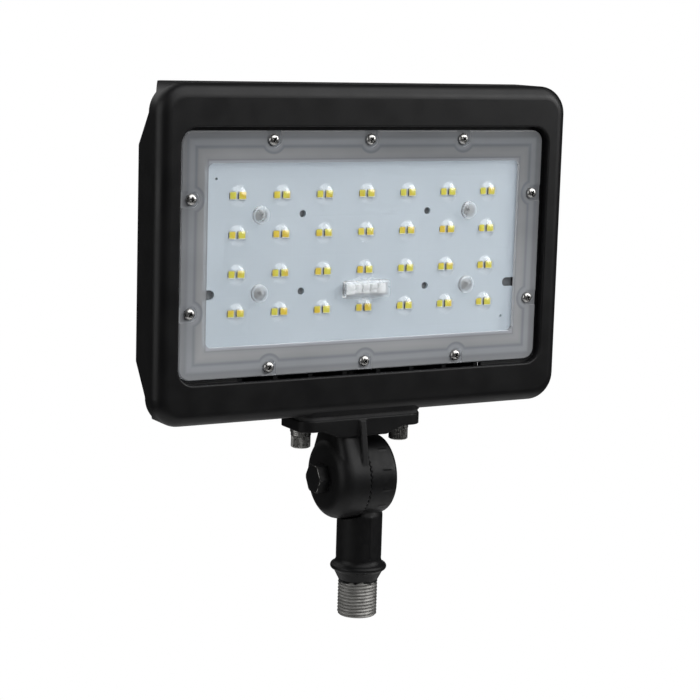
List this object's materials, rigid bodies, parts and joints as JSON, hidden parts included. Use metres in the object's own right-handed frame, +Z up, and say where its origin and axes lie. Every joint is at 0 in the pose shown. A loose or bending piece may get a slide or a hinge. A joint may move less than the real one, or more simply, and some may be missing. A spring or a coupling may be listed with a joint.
{
  "type": "flood light",
  "caption": "Rectangular LED flood light with a black finned housing, a clear lens cover over an LED board, and a toothed tilting knuckle on a threaded pipe stem.",
  "frame": {"origin": "on the axis of the pipe thread, at the top of its first turns just under the collar", "axes": "+Z up along the stem, +Y from the lit face to the back, +X to the right as seen from the front"},
  "size_m": [0.2432, 0.0515, 0.2859],
  "materials": {
    "coat": "black powder coat on die-cast aluminium",
    "lens": "clear polycarbonate",
    "clear_rubber": "pale silicone",
    "black_rubber": "black silicone",
    "stainless": "stainless steel",
    "dark_steel": "black coated steel",
    "board": "white solder mask on an aluminium board",
    "chip": "yellow phosphor",
    "white_plastic": "moulded",
    "pad": "filled silicone pad",
    "lead": "silicone sleeve",
    "potting": "filled potting"
  },
  "bodies": {
    "stem": {"knuckle_stem": "coat", "pivot_bolt": "dark_steel", "pivot_nut": "dark_steel", "knuckle_seal": "black_rubber"},
    "head": {"housing": "coat", "driver_cover": "coat", "knuckle_plate": "coat", "lens_cover": "lens", "lens_gasket": "clear_rubber", "cover_gasket": "black_rubber", "mount_gasket": "black_rubber", "wire_grommet": "black_rubber", "lens_screws": "stainless", "board_screws": "stainless", "driver_screws": "stainless", "cover_screws": "stainless", "plate_bolts": "stainless", "plate_washers": "stainless", "plate_spring_washers": "stainless", "led_board": "board", "led_chips": "chip", "board_connector": "white_plastic", "thermal_pad": "pad", "board_leads": "lead", "driver_case": "white_plastic", "driver_potting": "potting"}
  },
  "joints": [
    {"name": "tilt", "type": "hinge", "parent": "stem", "child": "head", "pos_m": [0, 0, 0.0592], "axis": [1, 0, 0], "range_deg": [-90, 90]}
  ]
}
